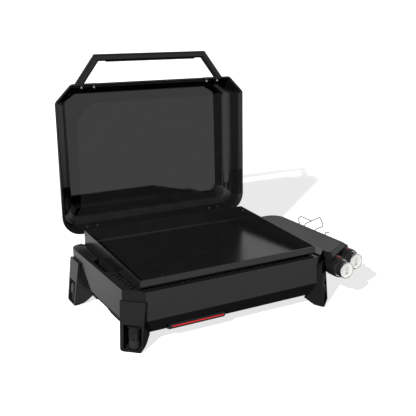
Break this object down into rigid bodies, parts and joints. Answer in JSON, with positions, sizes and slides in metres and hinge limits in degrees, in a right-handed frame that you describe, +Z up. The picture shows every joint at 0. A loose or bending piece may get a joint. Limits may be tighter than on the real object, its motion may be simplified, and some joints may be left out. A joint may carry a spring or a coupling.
{
  "type": "tabletop griddle",
  "caption": "Tabletop gas griddle with a rectangular cooking plate, hinged domed lid, side shelf with gas controls, pull-out grease tray and levelling feet.",
  "frame": {"origin": "on the table top, at the middle of the bounding box", "axes": "+X to the right as seen from the front, towards the side shelf; +Y to the back; +Z up"},
  "size_m": [0.8086, 0.6364, 0.7284],
  "materials": {
    "body_sheet": "fine textured black powder coat",
    "cast_plate": "black non-stick coating, satin",
    "moulded_body": "fine grained dark grey moulding",
    "moulded_shelf": "fine grained near-black moulding",
    "shelf_top": "fine grained grey moulding",
    "thumbwheel": "matt black moulding",
    "foot_rubber": "matt black rubber over a steel screw",
    "rack_wire": "bright drawn wire",
    "trim_red": "red trim, semi-gloss",
    "bezel_black": "black, semi-gloss",
    "valve_brass": "machined brass",
    "steel_part": "plain zinc-plated steel",
    "knob_body": "fine grained black moulding",
    "knob_cap": "white, semi-gloss",
    "chrome_trim": "bright chrome",
    "regulator_cast": "bare die-cast aluminium",
    "burner_steel": "stainless tube, heat-tinted",
    "ceramic": "glazed ceramic, white",
    "tray_steel": "dark grey powder coat",
    "pan_alu": "bare pressed aluminium",
    "lid_enamel": "high-gloss black enamel",
    "handle_black": "fine grained black moulding",
    "grip_rubber": "matt black rubber, toothed",
    "hinge_steel": "black powder coat"
  },
  "bodies": {
    "base": {"firebox": "body_sheet", "tray_rails": "steel_part", "griddle_plate": "cast_plate", "left_end_cap": "moulded_body", "right_end_cap": "moulded_body", "leg_front_left": "moulded_body", "leg_front_right": "moulded_body", "leg_rear_left": "moulded_body", "leg_rear_right": "moulded_body", "shelf_housing": "moulded_shelf", "shelf_panel": "shelf_top", "wire_rack": "rack_wire", "bezel_1": "bezel_black", "bezel_2": "bezel_black", "index_marks": "trim_red", "valve_1": "valve_brass", "valve_2": "valve_brass", "manifold": "steel_part", "supply_tubes": "steel_part", "regulator": "regulator_cast", "burner_1": "burner_steel", "burner_2": "burner_steel", "burner_bracket": "steel_part", "electrodes": "ceramic", "hinge_brackets": "hinge_steel", "hinge_pins": "steel_part"},
    "lid": {"lid_shell": "lid_enamel", "lid_handle": "handle_black", "grip_strip": "grip_rubber", "handle_bolts": "steel_part", "lid_hinges": "hinge_steel", "hinge_bolts": "steel_part"},
    "grease_tray": {"tray_frame": "tray_steel", "tray_strip": "trim_red", "drip_pan": "pan_alu"},
    "plug_1": {"valve_plug_1": "valve_brass"},
    "control_1": {"stem_1": "steel_part", "knob_1": "knob_body", "knob_ring_1": "chrome_trim", "knob_face_1": "knob_cap"},
    "plug_2": {"valve_plug_2": "valve_brass"},
    "control_2": {"stem_2": "steel_part", "knob_2": "knob_body", "knob_ring_2": "chrome_trim", "knob_face_2": "knob_cap"},
    "thumbwheel_front_left": {"wheel_front_left": "thumbwheel"},
    "levelling_foot_front_left": {"foot_front_left": "foot_rubber"},
    "thumbwheel_front_right": {"wheel_front_right": "thumbwheel"},
    "levelling_foot_front_right": {"foot_front_right": "foot_rubber"},
    "thumbwheel_rear_left": {"wheel_rear_left": "thumbwheel"},
    "levelling_foot_rear_left": {"foot_rear_left": "foot_rubber"},
    "thumbwheel_rear_right": {"wheel_rear_right": "thumbwheel"},
    "levelling_foot_rear_right": {"foot_rear_right": "foot_rubber"}
  },
  "joints": [
    {"name": "lid_hinge", "type": "hinge", "parent": "base", "child": "lid", "pos_m": [-0.0603, 0.1983, 0.15635], "axis": [1, 0, 0], "range_deg": [0, 91.7]},
    {"name": "tray_slide", "type": "slide", "parent": "base", "child": "grease_tray", "axis": [0, -1, 0], "range_m": [0, 0.12]},
    {"name": "valve_1_turn", "type": "hinge", "parent": "base", "child": "plug_1", "pos_m": [0.2987, -0.2907, 0.117], "axis": [0, -1, 0], "range_deg": [0, 220]},
    {"name": "knob_1_push", "type": "slide", "parent": "plug_1", "child": "control_1", "axis": [0, 1, 0], "range_m": [0, 0.003], "stiffness_N_per_m": 800},
    {"name": "valve_2_turn", "type": "hinge", "parent": "base", "child": "plug_2", "pos_m": [0.3733, -0.2447, 0.117], "axis": [0, -1, 0], "range_deg": [0, 220]},
    {"name": "knob_2_push", "type": "slide", "parent": "plug_2", "child": "control_2", "axis": [0, 1, 0], "range_m": [0, 0.003], "stiffness_N_per_m": 800},
    {"name": "wheel_front_left_turn", "type": "hinge", "parent": "base", "child": "thumbwheel_front_left", "pos_m": [-0.35853, -0.25962, 0.022], "axis": [0, 0, 1], "range_deg": [0, 1440]},
    {"name": "foot_front_left_slide", "type": "slide", "parent": "base", "child": "levelling_foot_front_left", "axis": [0, 0, -1], "range_m": [0, 0.008]},
    {"name": "wheel_front_right_turn", "type": "hinge", "parent": "base", "child": "thumbwheel_front_right", "pos_m": [0.24793, -0.25962, 0.022], "axis": [0, 0, 1], "range_deg": [0, 1440]},
    {"name": "foot_front_right_slide", "type": "slide", "parent": "base", "child": "levelling_foot_front_right", "axis": [0, 0, -1], "range_m": [0, 0.008]},
    {"name": "wheel_rear_left_turn", "type": "hinge", "parent": "base", "child": "thumbwheel_rear_left", "pos_m": [-0.3848, 0.1133, 0.022], "axis": [0, 0, 1], "range_deg": [0, 1440]},
    {"name": "foot_rear_left_slide", "type": "slide", "parent": "base", "child": "levelling_foot_rear_left", "axis": [0, 0, -1], "range_m": [0, 0.008]},
    {"name": "wheel_rear_right_turn", "type": "hinge", "parent": "base", "child": "thumbwheel_rear_right", "pos_m": [0.2742, 0.1133, 0.022], "axis": [0, 0, 1], "range_deg": [0, 1440]},
    {"name": "foot_rear_right_slide", "type": "slide", "parent": "base", "child": "levelling_foot_rear_right", "axis": [0, 0, -1], "range_m": [0, 0.008]}
  ],
  "couplings": [
    {"joint": "foot_front_left_slide", "follows": "wheel_front_left_turn", "m_per_rad": 0.00031831},
    {"joint": "foot_front_right_slide", "follows": "wheel_front_right_turn", "m_per_rad": 0.00031831},
    {"joint": "foot_rear_left_slide", "follows": "wheel_rear_left_turn", "m_per_rad": 0.00031831},
    {"joint": "foot_rear_right_slide", "follows": "wheel_rear_right_turn", "m_per_rad": 0.00031831}
  ]
}
